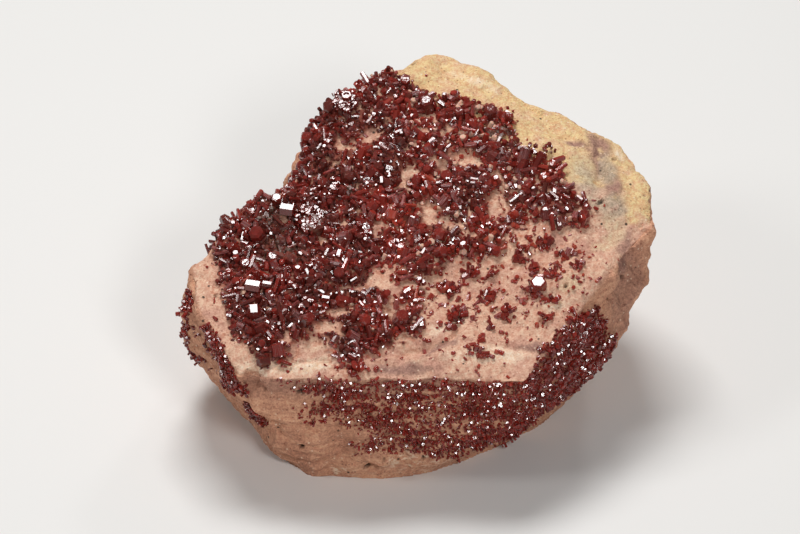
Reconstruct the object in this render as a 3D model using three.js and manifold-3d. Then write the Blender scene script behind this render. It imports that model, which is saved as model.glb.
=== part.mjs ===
// Vanadinite in matrix: a broken block of fine pinkish sandstone. Its sloping upper face carries a crust
// of hexagonal vanadinite prisms, small groups of prisms stand beside it, and thin druses of tiny
// crystals coat parts of the steep front, right and left sides.
// Millimetres. +X is right, +Y is back, +Z is up, and the block stands on its flat foot.

import * as THREE from "three";
import { ConvexGeometry } from "three/addons/geometries/ConvexGeometry.js";
import { ImprovedNoise } from "three/addons/math/ImprovedNoise.js";
import { mergeVertices } from "three/addons/utils/BufferGeometryUtils.js";
import Module from "manifold-3d";

const wasm = await Module();
wasm.setup();

// Driving dimensions of the block
const frontRim = 25; // height of the upper face above the front of the foot
const faceSlope = 0.31; // rise of the upper face towards the back, per millimetre
const faceDome = 1.4; // how far the upper face swells in the middle
const faceRadius = 42; // where that swelling ends
const footFront = -31; // the front of the foot, along Y
const sideEdgeLimit = 6.8; // longest edge of the facets on the broken sides
const faceEdgeLimit = 10; // longest edge on the upper face
const footEdgeLimit = 16; // longest edge on the flat foot
const wearSteps = 1; // rounds of smoothing that wear the broken edges
const wearShare = 0.3;

// Driving dimensions of the crystals
const gap = 0.3; // clearance that every crystal piece keeps from the block
const crustThickness = 1.3;
const druseThickness = 0.75;
const viewTilt = THREE.MathUtils.degToRad(35); // outlines are drawn as seen from the front, this far above

const stoneColour = 0xc79a82;
const crystalColour = 0x6e1710;

const stone = new THREE.MeshStandardMaterial({ color: stoneColour, roughness: 0.9, flatShading: true });
const vanadinite = new THREE.MeshStandardMaterial({
  color: crystalColour, roughness: 0.2, flatShading: true,
});

// A repeatable source of numbers from 0 to 1
function numbers(seed) {
  let state = seed;
  return () => {
    state = (Math.imul(state, 1664525) + 1013904223) >>> 0;
    return state / 4294967296;
  };
}

// A closed three.js geometry as a solid
function solid(geometry, matrix = new THREE.Matrix4()) {
  const bare = new THREE.BufferGeometry();
  bare.setAttribute("position", geometry.getAttribute("position").clone());
  if (geometry.index) bare.setIndex(geometry.index.clone());
  const merged = mergeVertices(bare.applyMatrix4(matrix), 1e-4);
  return new wasm.Manifold(
    new wasm.Mesh({
      numProp: 3,
      vertProperties: new Float32Array(merged.getAttribute("position").array),
      triVerts: new Uint32Array(merged.index.array),
    }),
  );
}

// A solid's points and faces, as plain lists
function surface(made) {
  const mesh = made.getMesh();
  const points = [];
  for (let i = 0; i < mesh.numVert; i++) {
    points.push(new THREE.Vector3().fromArray(mesh.vertProperties, i * mesh.numProp));
  }
  const faces = [];
  for (let i = 0; i < mesh.triVerts.length; i += 3) faces.push([...mesh.triVerts.slice(i, i + 3)]);
  return { points, faces };
}

function geometryOf({ points, faces }) {
  const geometry = new THREE.BufferGeometry().setFromPoints(points);
  geometry.setIndex(faces.flat());
  geometry.computeVertexNormals();
  return geometry;
}

function hull(corners) {
  return solid(new ConvexGeometry(corners.map((corner) => new THREE.Vector3(...corner))));
}

// A point on the upper face, which slopes up to the back and is a little domed
function onFace(x, y) {
  const dome = faceDome * (1 - (x * x + y * y) / (faceRadius * faceRadius));
  return [x, y, frontRim + faceSlope * (y - footFront) + dome];
}

// The block is two broken lumps in one: the main one, and a lower shoulder on the left.
const mainCorners = [
  // the rim of the upper face, from the front left round the right to the notch on the left
  onFace(-28, -34), onFace(-10.5, -33.5), onFace(3.5, -35), onFace(18.5, -35.5),
  onFace(26, -23), onFace(32.5, -12), onFace(38, -2.5),
  onFace(-5, 30.5), onFace(-14.5, 22.5), onFace(-18.5, 15), onFace(-20.5, 8), onFace(-23.5, 3.5),
  // inside the rim
  onFace(-17, -20), onFace(0, -22), onFace(15, -19), onFace(-15, -5), onFace(1, -5), onFace(18, -4),
  onFace(-10, 12), onFace(5, 10),
  // the crest between the crystal face and the bare strip behind it
  onFace(-3, 27), onFace(9, 21.5), onFace(23.5, 9), onFace(30, 1.5),
  // the far edge of the bare strip
  [2, 35, 44.6], [9, 33, 42.8], [16, 26.5, 41], [24, 22.3, 39.2], [32.3, 19, 37.4],
  [38.2, 15, 36], [40.2, 8, 35.2], [41, -1.5, 33.4],
  // the right end and the back, part of the way down
  [40, 4, 27], [38.3, -5, 22], [32, -14.5, 13.5], [29, -13.5, 7],
  [37.5, 17, 20], [26, 31, 17], [10, 38, 25], [-12, 35, 19], [-23, 24, 27], [-29, 8, 14],
  // the foot
  [-24, -19, 0], [-22.5, -24, 0], [-19, -29.5, 0], [-12.5, -31.5, 0], [-3, -30.5, 0], [4, -27, 0],
  [12, -22.5, 0], [21, -15, 0], [24.5, -10.5, 0], [28, 2, 0], [25, 17, 0], [11, 26, 0], [-8, 25, 0],
  [-20, 15, 0], [-27, 5, 0],
];
const shoulderCorners = [
  // its rim, from the notch round to the front
  onFace(-23.5, 3.5), onFace(-29, 2), onFace(-35.5, -5), onFace(-39.2, -10), onFace(-38.3, -18),
  onFace(-35.2, -25), onFace(-31.2, -34), onFace(-17, -20), onFace(-15, -5), onFace(-27, -17),
  onFace(-26, -6),
  // down the left side
  [-40, -12, 20], [-40, -8, 8.5], [-36, -8.5, 4.5], [-34, 7, 16],
  // the foot
  [-32, -6.4, 0], [-29.5, -11.5, 0], [-24, -19, 0], [-20, -29.5, 0], [-10, -20, 0], [-12, 10, 0], [-29, 4, 0],
];

// Halves every edge that is over a limit, the longest first, and keeps neighbouring faces joined.
function splitEdges({ points, faces }, limitAt) {
  for (const rough of [8, 4, 2, 1]) {
    let cut = true;
    while (cut) {
      const middles = new Map();
      const middle = (i, j) => {
        const key = Math.min(i, j) + "_" + Math.max(i, j);
        if (!middles.has(key)) {
          const half = points[i].clone().lerp(points[j], 0.5);
          if (points[i].distanceTo(points[j]) <= rough * limitAt(half)) return -1;
          middles.set(key, points.push(half) - 1);
        }
        return middles.get(key);
      };
      const next = [];
      for (let [a, b, c] of faces) {
        let [ab, bc, ca] = [middle(a, b), middle(b, c), middle(c, a)];
        const cuts = [ab, bc, ca].filter((m) => m >= 0).length;
        // Turn the corners so that one cut lies on ab, and two lie on ab and bc.
        while (cuts > 0 && cuts < 3 && !(ab >= 0 && (cuts === 1 || bc >= 0))) {
          [a, b, c] = [b, c, a];
          [ab, bc, ca] = [bc, ca, ab];
        }
        if (cuts === 0) next.push([a, b, c]);
        if (cuts === 1) next.push([a, ab, c], [ab, b, c]);
        if (cuts === 2) next.push([ab, b, bc], [a, ab, bc], [a, bc, c]);
        if (cuts === 3) next.push([a, ab, ca], [ab, b, bc], [ca, bc, c], [ab, bc, ca]);
      }
      faces = next;
      cut = middles.size > 0;
    }
  }
  return { points, faces };
}

// Draws each point towards its neighbours. The foot stays flat.
function wear({ points, faces }, rounds, share) {
  const beside = points.map(() => new Set());
  for (const [a, b, c] of faces) {
    beside[a].add(b).add(c);
    beside[b].add(c).add(a);
    beside[c].add(a).add(b);
  }
  for (let round = 0; round < rounds; round++) {
    const before = points.map((point) => point.clone());
    points.forEach((point, i) => {
      const mean = new THREE.Vector3();
      for (const j of beside[i]) mean.add(before[j]);
      mean.divideScalar(beside[i].size);
      if (before[i].z < 0.01) mean.z = 0;
      point.lerp(mean, share);
    });
  }
}

function normalsOf(mesh) {
  const normals = geometryOf(mesh).getAttribute("normal");
  return mesh.points.map((_, i) => new THREE.Vector3().fromBufferAttribute(normals, i));
}

const noise = new ImprovedNoise();
function roughness(point, scale, shift) {
  return noise.noise(point.x / scale + shift, point.y / scale - shift, point.z / scale + 2 * shift);
}

// Swells, chips and ledges of the broken stone, in millimetres out of the surface
const swell = { scale: 17, height: 1.5 };
const chip = { scale: 7.5, height: 1.1 };
const grit = { scale: 3.1, height: 0.35 };
const ledge = { spacing: 7.5, depth: 1, waviness: 3 };
function relief(point, normal) {
  const rough =
    swell.height * roughness(point, swell.scale, 3.7) +
    chip.height * roughness(point, chip.scale, 9.1) +
    grit.height * roughness(point, grit.scale, 5.3);
  const wave = ledge.waviness * roughness(point, swell.scale, 1.9);
  const bed = (point.z + 0.12 * point.x + wave) / ledge.spacing;
  const steep = 1 - THREE.MathUtils.smoothstep(Math.abs(normal.z), 0.4, 0.8);
  const foot = THREE.MathUtils.smoothstep(point.z, 0.2, 3);
  return foot * (rough + ledge.depth * steep * (bed - Math.floor(bed) - 0.5));
}

function edgeLimitAt(point) {
  if (point.z < 0.01) return footEdgeLimit;
  const underFace = onFace(point.x, point.y)[2] - point.z;
  return underFace < 1.5 ? faceEdgeLimit : sideEdgeLimit;
}

function buildBlock() {
  const joined = hull(mainCorners).add(hull(shoulderCorners));
  const mesh = splitEdges(surface(joined), edgeLimitAt);
  wear(mesh, wearSteps, wearShare);
  const normals = normalsOf(mesh);
  mesh.points.forEach((point, i) => point.addScaledVector(normals[i], relief(point, normals[i])));
  return mesh;
}

const block = buildBlock();
const blockNormals = normalsOf(block);

// The block swollen by some distance, which the crystals are cut with
function grown(distance) {
  const points = block.points.map((point, i) => point.clone().addScaledVector(blockNormals[i], distance));
  return solid(geometryOf({ points, faces: block.faces }));
}
const clearBlock = grown(gap);

// The picture plane: [across, up] from the front of the foot, seen from the front and viewTilt above
const planeUp = new THREE.Vector3(0, Math.sin(viewTilt), Math.cos(viewTilt));
const towardsViewer = new THREE.Vector3(0, -Math.cos(viewTilt), Math.sin(viewTilt));
const planeOrigin = new THREE.Vector3(0, footFront, 0);
const viewDistance = 150;

const blockMesh = new THREE.Mesh(geometryOf(block), stone);
blockMesh.updateMatrixWorld(true);

// Where the line of sight through a place on the picture plane meets the block
function surfaceAt(across, up) {
  const start = planeOrigin.clone().addScaledVector(planeUp, up).addScaledVector(towardsViewer, viewDistance);
  start.x = across;
  const hit = new THREE.Raycaster(start, towardsViewer.clone().negate()).intersectObject(blockMesh)[0];
  return hit && { point: hit.point, normal: hit.face.normal.clone() };
}

// An outline on the picture plane, drawn out towards the viewer and away
function alongView(outline) {
  const shape = new THREE.Shape(outline.map(([across, up]) => new THREE.Vector2(across, up)));
  const drawn = new THREE.ExtrudeGeometry(shape, { depth: 2 * viewDistance, bevelEnabled: false });
  const place = new THREE.Matrix4().makeBasis(new THREE.Vector3(1, 0, 0), planeUp, towardsViewer);
  place.setPosition(planeOrigin.clone().addScaledVector(towardsViewer, -viewDistance));
  return solid(drawn, place);
}

function inside([across, up], outline) {
  let within = false;
  outline.forEach(([x1, y1], i) => {
    const [x2, y2] = outline[(i + 1) % outline.length];
    const crosses = y1 > up !== y2 > up && across < x1 + ((up - y1) / (y2 - y1)) * (x2 - x1);
    if (crosses) within = !within;
  });
  return within;
}

// One hexagonal prism: it starts under the surface and stands out of it along its axis.
const rootDepth = 1.6;
function prism(place, axis, radius, reach, turn) {
  const hexagon = new THREE.Shape();
  for (let i = 0; i < 6; i++) {
    const angle = turn + (i * Math.PI) / 3;
    const corner = [radius * Math.cos(angle), radius * Math.sin(angle)];
    if (i === 0) hexagon.moveTo(...corner);
    else hexagon.lineTo(...corner);
  }
  const bar = new THREE.ExtrudeGeometry(hexagon, { depth: rootDepth + reach, bevelEnabled: false });
  const turned = new THREE.Quaternion().setFromUnitVectors(new THREE.Vector3(0, 0, 1), axis);
  const start = place.clone().addScaledVector(axis, -rootDepth);
  return solid(bar, new THREE.Matrix4().compose(start, turned, new THREE.Vector3(1, 1, 1)));
}

// An axis that leans away from the surface's normal by up to a given share
function leaning(normal, share, random) {
  const push = new THREE.Vector3(random() - 0.5, random() - 0.5, random() - 0.5).multiplyScalar(2 * share);
  return normal.clone().add(push).normalize();
}

function biggest(made) {
  return made.decompose().reduce((best, body) => (body.volume() > best.volume() ? body : best));
}

// A sheet of crystals over part of the block: a thin base fused with prisms scattered over it
function crystalSheet({ outline, keepTo, thickness, spacing, radius, reach, lean, seed, large = [] }) {
  const random = numbers(seed);
  const between = ([low, high]) => low + (high - low) * random() ** 1.6;
  const base = alongView(outline).intersect(keepTo).intersect(grown(thickness));
  const prisms = [];
  const acrosses = outline.map(([across]) => across);
  const ups = outline.map(([, up]) => up);
  for (let across = Math.min(...acrosses); across < Math.max(...acrosses); across += spacing) {
    for (let up = Math.min(...ups); up < Math.max(...ups); up += spacing * 0.85) {
      const spot = [across + spacing * random(), up + spacing * random()];
      const [wide, tall, turn] = [between(radius), between(reach), random() * Math.PI];
      const found = inside(spot, outline) && surfaceAt(...spot);
      const near = large.some(({ at, radius: r }) => Math.hypot(at[0] - spot[0], at[1] - spot[1]) < r + wide);
      if (!found || near) continue;
      prisms.push(prism(found.point, leaning(found.normal, lean, random), wide, tall, turn));
    }
  }
  for (const { at, radius: wide, reach: tall, axis, turn = 0.3 } of large) {
    prisms.push(prism(surfaceAt(...at).point, new THREE.Vector3(...axis).normalize(), wide, tall, turn));
  }
  return biggest(wasm.Manifold.union([base, ...prisms]).subtract(clearBlock));
}

// A small group: prisms that fan out of one low mound
const moundHeight = 1.6;
function crystalGroup({ at, radius, seed, flat = false }) {
  const random = numbers(seed);
  const { point, normal } = surfaceAt(...at);
  const count = Math.round(0.5 + 1.2 * radius);
  const upright = new THREE.Quaternion().setFromUnitVectors(new THREE.Vector3(0, 0, 1), normal);
  const lying = new THREE.Matrix4().makeRotationX(Math.PI / 2);
  const mound = new THREE.Matrix4().compose(point, upright, new THREE.Vector3(1, 1, 1)).multiply(lying);
  const parts = [solid(new THREE.CylinderGeometry(0.55 * radius, 0.85 * radius, moundHeight, 5), mound)];
  for (let i = 0; i < count; i++) {
    const angle = ((i + random()) * 2 * Math.PI) / count;
    const outward = new THREE.Vector3(Math.cos(angle), Math.sin(angle), 0).applyQuaternion(upright);
    const place = point.clone().addScaledVector(outward, 0.5 * radius * (0.4 + random()));
    const axis = normal.clone().addScaledVector(outward, 0.3 + 0.9 * random()).normalize();
    parts.push(prism(place, axis, 0.5 + 0.35 * radius * random(), 0.7 + 0.5 * radius * random(), random()));
  }
  if (flat) parts.push(prism(point, towardsViewer.clone().lerp(normal, 0.5).normalize(), 1.35, 1.9, 0.2));
  return biggest(wasm.Manifold.union(parts).subtract(clearBlock));
}

// Outlines on the picture plane
const crustOutline = [
  [-5.7, 71.6], [-3.1, 69.3], [3.8, 65.9], [15, 62.9], [16.7, 58.6], [19.3, 55.5], [24.5, 55.2],
  [25.3, 50.9], [29.1, 46.9], [27.6, 44.7], [22.6, 44.6], [19.7, 45.5], [18.4, 43.1], [15.2, 41.2],
  [12.6, 39.5], [6.2, 38.6], [3.8, 36.9], [-0.9, 35.7], [-5.7, 35.2], [-9, 36.6], [-7.9, 33.4],
  [-4.8, 32.2], [0.3, 32.6], [0.5, 27.2], [-2.1, 23.6], [-6.2, 24.5], [-10.9, 21], [-14, 21.4],
  [-15.9, 23.8], [-20.3, 24.3], [-22.4, 20.9], [-25.9, 20.2], [-29.7, 24.3], [-32.6, 25.2],
  [-32.2, 30.5], [-35.7, 31.9], [-33.8, 36.6], [-35.9, 40], [-33, 45], [-28, 47.6], [-24.6, 48],
  [-22, 53], [-20, 58.5], [-16, 65], [-10, 71], [-6, 73],
];
const frontDruseOutline = [
  [-23.4, 18], [-13.8, 18.4], [-13, 16], [-8, 16], [-7.2, 18.3], [4, 17.6], [18.6, 17.4], [19.5, 9], [13, 5],
  [4, 4.6], [-9, 5.6], [-3, 8], [-10, 9], [-19.5, 12], [-10, 12.4], [-15, 14.6], [-23, 16.6],
];
const rightDruseOutline = [
  [19.8, 18.5], [22.6, 23.5], [25.5, 27.5], [29, 28.4], [31.5, 27.6], [33.4, 24], [32.2, 19.5], [28.3, 15.2],
  [24.6, 12.6], [20.8, 10.2],
];
const leftDruseOutline = [
  [-39.1, 31.5], [-37.6, 29], [-35, 26.7], [-32.8, 22.4], [-30.7, 18], [-27.2, 10.3], [-29.4, 11.6],
  [-32.4, 14.7], [-34.2, 17.2], [-38, 20.6], [-40.6, 23.3], [-40.6, 28.4],
];

// Parts of space that keep an outline to the side it belongs to
function slabOnFace(below, above) {
  const tilt = Math.atan(faceSlope);
  const place = new THREE.Matrix4().makeRotationX(tilt);
  const middle = new THREE.Vector3(0, -Math.sin(tilt), Math.cos(tilt)).multiplyScalar((above - below) / 2);
  place.setPosition(middle.add(new THREE.Vector3(0, footFront, frontRim)));
  return solid(new THREE.BoxGeometry(300, 300, below + above), place);
}
function boxBetween(low, high) {
  const box = new THREE.Box3(new THREE.Vector3(...low), new THREE.Vector3(...high));
  const size = box.getSize(new THREE.Vector3());
  const place = new THREE.Matrix4().setPosition(box.getCenter(new THREE.Vector3()));
  return solid(new THREE.BoxGeometry(size.x, size.y, size.z), place);
}
const upperFace = slabOnFace(2.3, 12);
const frontSide = boxBetween([-60, -60, 3], [60, 2, 60]);
const rightSide = boxBetween([0, -60, 8], [60, -11, 60]);
const leftSide = boxBetween([-60, -60, 3], [0, -7, 60]);

// Crystals of the crust that stand out by their size: where, how wide, how far out, and which way
const largeCrystals = [
  { at: [-12.6, 64.7], radius: 1.9, reach: 2.6, axis: [-0.1, -0.5, 1] },
  { at: [-22.9, 45.7], radius: 1.6, reach: 2.8, axis: [-0.3, -0.4, 1] },
  { at: [-18.3, 43.4], radius: 2.2, reach: 2.4, axis: [0.2, -0.5, 1] },
  { at: [-27.8, 44.2], radius: 2.3, reach: 2.5, axis: [-0.5, -0.2, 1] },
  { at: [-26.5, 33.3], radius: 1.4, reach: 3, axis: [-1, -0.2, 0.7] },
  { at: [-19.5, 27.8], radius: 1.5, reach: 3, axis: [0.6, -0.8, 0.8] },
  { at: [17.4, 53.2], radius: 1.1, reach: 4, axis: [0.1, 0.3, 1] },
  { at: [20.6, 52.8], radius: 1.0, reach: 3.6, axis: [0.5, 0.2, 1] },
  { at: [10.7, 63.2], radius: 1.9, reach: 2.4, axis: [0.2, 0.3, 1] },
  { at: [6.2, 64.2], radius: 1.9, reach: 2.6, axis: [-0.2, 0.3, 1] },
  { at: [-3.1, 27.8], radius: 1.7, reach: 2.2, axis: [0.3, -0.4, 1] },
  { at: [-8.5, 52], radius: 1.5, reach: 3.2, axis: [0.7, 0.2, 1] },
  { at: [3.5, 48.5], radius: 1.3, reach: 3.4, axis: [-0.6, -0.4, 1] },
  { at: [-31, 39.5], radius: 1.4, reach: 2.6, axis: [-0.8, -0.3, 1] },
];

// Groups that stand apart from the crust, as [across, up, radius]
const groupPlaces = [
  [21.6, 40.8, 2.1], [17.9, 39, 1.9], [19.5, 35.9, 1.4], [25.5, 39, 1.3], [8.3, 36.2, 1], [12.6, 35.4, 2.1],
  [23.3, 35.2, 1.7], [26.8, 36.4, 1], [5.4, 33.4, 2.2], [10.7, 32.2, 1.6], [6.4, 28.6, 2.9],
  [15.4, 29.4, 2.3], [12.2, 26.6, 1.1], [20.9, 27.8, 1.1], [9.8, 21.6, 1.8], [-10.4, 18.9, 1.7],
  [22.6, 31, 1],
];
const flatCrystalPlace = [19.6, 32.6, 1.8];

function meshOf(name, made, material) {
  const mesh = new THREE.Mesh(geometryOf(surface(made)), material);
  mesh.name = name;
  return mesh;
}

const specimen = new THREE.Group();
specimen.add(meshOf("matrix", solid(geometryOf(block)), stone));

specimen.add(
  meshOf(
    "crystal_crust",
    crystalSheet({
      outline: crustOutline, keepTo: upperFace, thickness: crustThickness, spacing: 6,
      radius: [1, 2], reach: [1.6, 3.4], lean: 0.75, seed: 7, large: largeCrystals,
    }),
    vanadinite,
  ),
);

const druses = {
  front_druse: { outline: frontDruseOutline, keepTo: frontSide, spacing: 11, seed: 11 },
  right_druse: { outline: rightDruseOutline, keepTo: rightSide, spacing: 8, seed: 13 },
  left_druse: { outline: leftDruseOutline, keepTo: leftSide, spacing: 7, seed: 17 },
};
for (const [name, druse] of Object.entries(druses)) {
  const sizes = { thickness: druseThickness, radius: [0.6, 1.1], reach: [1, 1.7], lean: 0.6 };
  specimen.add(meshOf(name, crystalSheet({ ...druse, ...sizes }), vanadinite));
}

groupPlaces.forEach(([across, up, radius], i) => {
  const name = "crystal_group_" + String(i + 1).padStart(2, "0");
  specimen.add(meshOf(name, crystalGroup({ at: [across, up], radius, seed: 100 + 7 * i }), vanadinite));
});
const [flatAcross, flatUp, flatRadius] = flatCrystalPlace;
const flatGroup = crystalGroup({ at: [flatAcross, flatUp], radius: flatRadius, seed: 5, flat: true });
specimen.add(meshOf("flat_crystal_group", flatGroup, vanadinite));

// The origin is the middle of the foot side of the whole specimen's box.
const bounds = new THREE.Box3().setFromObject(specimen);
const centre = bounds.getCenter(new THREE.Vector3());
specimen.position.set(-centre.x, -centre.y, -bounds.min.z);

export default specimen;
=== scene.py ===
import math

import bmesh
import bpy
import numpy as np
from mathutils import Matrix, Vector, noise
from mathutils.bvhtree import BVHTree
from mathutils.kdtree import KDTree


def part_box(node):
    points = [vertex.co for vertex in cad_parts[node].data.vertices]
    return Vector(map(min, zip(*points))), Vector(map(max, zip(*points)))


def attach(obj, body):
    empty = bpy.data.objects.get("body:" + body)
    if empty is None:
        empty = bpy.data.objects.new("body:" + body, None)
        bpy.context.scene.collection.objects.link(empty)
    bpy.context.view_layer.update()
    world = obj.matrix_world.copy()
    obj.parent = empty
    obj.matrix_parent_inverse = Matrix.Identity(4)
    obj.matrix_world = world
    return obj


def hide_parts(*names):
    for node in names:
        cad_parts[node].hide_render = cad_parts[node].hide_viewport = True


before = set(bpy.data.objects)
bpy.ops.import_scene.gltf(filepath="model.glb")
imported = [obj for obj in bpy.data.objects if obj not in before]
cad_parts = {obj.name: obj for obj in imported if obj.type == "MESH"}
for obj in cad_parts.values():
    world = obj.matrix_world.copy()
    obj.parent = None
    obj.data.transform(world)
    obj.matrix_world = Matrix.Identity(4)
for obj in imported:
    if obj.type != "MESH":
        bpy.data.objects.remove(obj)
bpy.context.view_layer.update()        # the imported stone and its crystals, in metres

mm = 0.001
scene = bpy.context.scene
scene.view_settings.view_transform = "Standard"

# The view of the specimen. Places below are written as (across, up) in millimetres on the picture plane,
# which leans back by the view's tilt and starts at the front of the foot.
view = {
    "tilt": math.radians(35),
    "front": Vector((0.6, -31.65, 0.0)) * mm,   # the front of the foot
    "centre": (-3.1, 36.7),                      # the middle of the picture
    "depth": -13.3 * mm,                         # from the picture plane to the middle of the stone
    "frameWidth": 137.9 * mm,
    "lens": 400.0,
}
planeUp = Vector((0, math.sin(view["tilt"]), math.cos(view["tilt"])))
toViewer = Vector((0, -math.cos(view["tilt"]), math.sin(view["tilt"])))


def onPlane(across, up):
    return view["front"] + Vector((across * mm, 0, 0)) + planeUp * (up * mm)


def makeCamera():
    camera = bpy.data.objects.new("camera", bpy.data.cameras.new("camera"))
    camera.data.lens = view["lens"]
    away = view["frameWidth"] * view["lens"] / camera.data.sensor_width
    camera.location = onPlane(*view["centre"]) + toViewer * (view["depth"] + away)
    camera.rotation_euler = (math.pi / 2 - view["tilt"], 0, 0)
    scene.collection.objects.link(camera)
    scene.camera = camera


makeCamera()

# The floor, the world and the lamps: name, place and size in mm, power in watts
studio = {
    "floor": (0.80, 0.79, 0.77),
    "worldColour": (1.0, 0.98, 0.96),
    "worldStrength": 0.12,
    "aim": Vector((0, 0, 25)),
    "lamps": [
        ("topLamp", (-60, 190, 560), (250, 190), 2.4),
        ("leftLamp", (-420, -150, 380), (120, 120), 0.5),
        ("frontLamp", (150, -490, 420), (120, 110), 1.3),
        ("sparkLamp", (220, 380, 420), (80, 60), 0.25),
    ],
}
# a face turned this way throws the lamp's light at the camera
glints = [
    np.array(((Vector(place) - studio["aim"]).normalized() + toViewer).normalized())
    for _, place, _, _ in studio["lamps"]
]


# Shader maths: a wire is a node's output, and sums and products of wires add the nodes they need.
class Wire:
    def __init__(self, recipe, socket):
        self.recipe = recipe
        self.socket = socket

    def other(self, output):
        return Wire(self.recipe, self.socket.node.outputs[output])

    def maths(self, operation, first, second):
        return self.recipe.node("ShaderNodeMath", {"operation": operation}, {0: first, 1: second})

    def __add__(self, other):
        return self.maths("ADD", self, other)

    def __radd__(self, other):
        return self.maths("ADD", other, self)

    def __sub__(self, other):
        return self.maths("SUBTRACT", self, other)

    def __rsub__(self, other):
        return self.maths("SUBTRACT", other, self)

    def __mul__(self, other):
        return self.maths("MULTIPLY", self, other)

    def __rmul__(self, other):
        return self.maths("MULTIPLY", other, self)


class Recipe:
    def __init__(self, name):
        self.material = bpy.data.materials.new(name)
        self.material.use_nodes = True
        self.tree = self.material.node_tree
        self.shader = self.tree.nodes["Principled BSDF"]

    def node(self, kind, settings=None, sockets=None, output=0):
        made = self.tree.nodes.new(kind)
        for name, value in (settings or {}).items():
            if name == "stops":
                self.setStops(made.color_ramp, value)
            else:
                setattr(made, name, value)
        for key, value in (sockets or {}).items():
            self.plug(made.inputs[key], value)
        return Wire(self, made.outputs[output])

    def setStops(self, ramp, stops):
        while len(ramp.elements) < len(stops):
            ramp.elements.new(0.5)
        for element, (place, colour) in zip(ramp.elements, stops):
            element.position = place
            element.color = (*colour, 1)

    def plug(self, socket, value):
        if isinstance(value, Wire):
            self.tree.links.new(value.socket, socket)
        else:
            socket.default_value = value

    def finish(self, **sockets):
        for name, value in sockets.items():
            self.plug(self.shader.inputs[name.replace("_", " ")], value)

    def attribute(self, name):
        return self.node("ShaderNodeAttribute", {"attribute_name": name}, output="Fac")

    def place(self, stretch=(1, 1, 1), turn=(0, 0, 0)):
        spot = self.node("ShaderNodeTexCoord", output="Object")
        return self.node("ShaderNodeMapping", None, {"Vector": spot, "Scale": stretch, "Rotation": turn})

    def grain(self, size, detail=2.0, vector=None, rough=0.5, shift=0.0):
        where = vector or self.place()
        settings = {"noise_dimensions": "4D"}
        sockets = {"Vector": where, "W": shift, "Scale": 1 / (size * mm), "Detail": detail}
        return self.node("ShaderNodeTexNoise", settings, {**sockets, "Roughness": rough}, output="Fac")

    def specks(self, size, share, shift=0.0):
        # round grains about half the size across, in this share of the cells
        moved = {"Vector": self.place(), "Location": (shift, shift, shift)}
        sockets = {"Vector": self.node("ShaderNodeMapping", None, moved), "Scale": 1 / (size * mm)}
        cells = self.node("ShaderNodeTexVoronoi", None, sockets, "Distance")
        chosen = self.node("ShaderNodeSeparateColor", None, {0: cells.other("Color")})
        return self.ramped(cells, 0.36, 0.22) * self.ramped(chosen, 1 - share, 1 - share + 0.01)

    def ramped(self, value, low, high):
        sockets = {"Value": value, "From Min": low, "From Max": high}
        return self.node("ShaderNodeMapRange", {"interpolation_type": "SMOOTHSTEP"}, sockets)

    def mixed(self, share, first, second, blend="MIX"):
        colours = [(*c, 1) if isinstance(c, tuple) else c for c in (first, second)]
        settings = {"data_type": "RGBA", "blend_type": blend}
        return self.node("ShaderNodeMix", settings, {0: share, 6: colours[0], 7: colours[1]}, output=2)

    def bump(self, height, strength, distance):
        sockets = {"Height": height, "Strength": strength, "Distance": distance * mm}
        return self.node("ShaderNodeBump", None, sockets)


# The stone: colours, and the sizes of its relief in millimetres
stone = {
    "faceTan": (0.70, 0.43, 0.30),
    "facePink": (0.55, 0.295, 0.215),
    "sideBrown": (0.68, 0.36, 0.222),
    "sideDark": (0.49, 0.235, 0.148),
    "stripBeige": (0.72, 0.50, 0.255),
    # mauve-brown painted shade under the ledges
    "ledgeShadeMauve": (0.34, 0.185, 0.145),
    # painted shade under the front rim and on the dimly lit right side
    "shade": (0.32, 0.165, 0.125),
    "ochre": (0.66, 0.49, 0.31),
    # whitish grains and flecks, and the painted highlight along the rim and crest
    "whitish": (0.88, 0.70, 0.52),
    "greyGreen": (0.46, 0.40, 0.29),
    "underCrust": (0.21, 0.045, 0.028),
    "underDruse": (0.19, 0.042, 0.026),
    # near black: painted shade in the pits and hollows, and the few dark grains
    "pit": (0.02, 0.016, 0.011),
    "grainDark": (0.27, 0.25, 0.24),
    "grainPale": (0.72, 0.72, 0.73),
    "rust": (0.45, 0.14, 0.075),
    "voxel": 0.455,
    "creaseAngle": 32.0,
    "creaseWeight": 0.8,
    "settling": 7,
    # noise over the surface: its size, its shift, its height, and the height that steep sides add
    "bumps": [(9.0, 1.0, 1.5, 0.0), (3.6, 5.0, 0.4, 0.6), (1.3, 21.0, 0.24, 0.0), (0.8, 23.0, 0.12, 0.0)],
    "folds": [(5.5, 11.0, 0.2, 0.7), (2.3, 17.0, 0.15, 0.35)],
    "pitDepth": 0.5,
    "hollowDepth": 0.7,
    "bedDip": 0.12,
    "bedStretch": 0.18,
    # where the crystals of the crust, from left to right and upwards, begin to leave gaps
    "gapStart": (-18, 2),
    "gapTop": (52, 66),
}

# Fine forms of the stone that the picture shows, as lines on the picture plane, sizes in mm
grooves = [
    {"line": [(-21.6, 20.4), (-17.5, 20.9), (-14.2, 20.2)], "depth": 0.35, "width": 0.28},
    {"line": [(12.4, 23.4), (16.0, 23.2), (19.3, 22.4)], "depth": 0.45, "width": 0.5},
    {"line": [(-3.1, 21.4), (1.0, 22.6), (3.8, 23.4), (6.4, 25.2)], "depth": 0.7, "width": 0.7},
    {"line": [(31.0, 59.0), (32.0, 55.0), (31.3, 51.5)], "depth": 0.8, "width": 1.1},
]
ledges = [
    {"depth": 0.9, "fade": 2.2, "line": [(6.4, 25.2), (3.8, 23.2), (-3.1, 21.6), (-9.0, 21.0)]},
    {"depth": 1.0, "fade": 2.0, "line": [(39.5, 43.5), (38.3, 41.4), (37.4, 38), (38.2, 35.2), (36, 31)]},
    {"depth": 0.8, "fade": 3.5, "line": [(22, 63), (27, 59.5), (31, 56), (34, 50), (38, 44.5)]},
]

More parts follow.
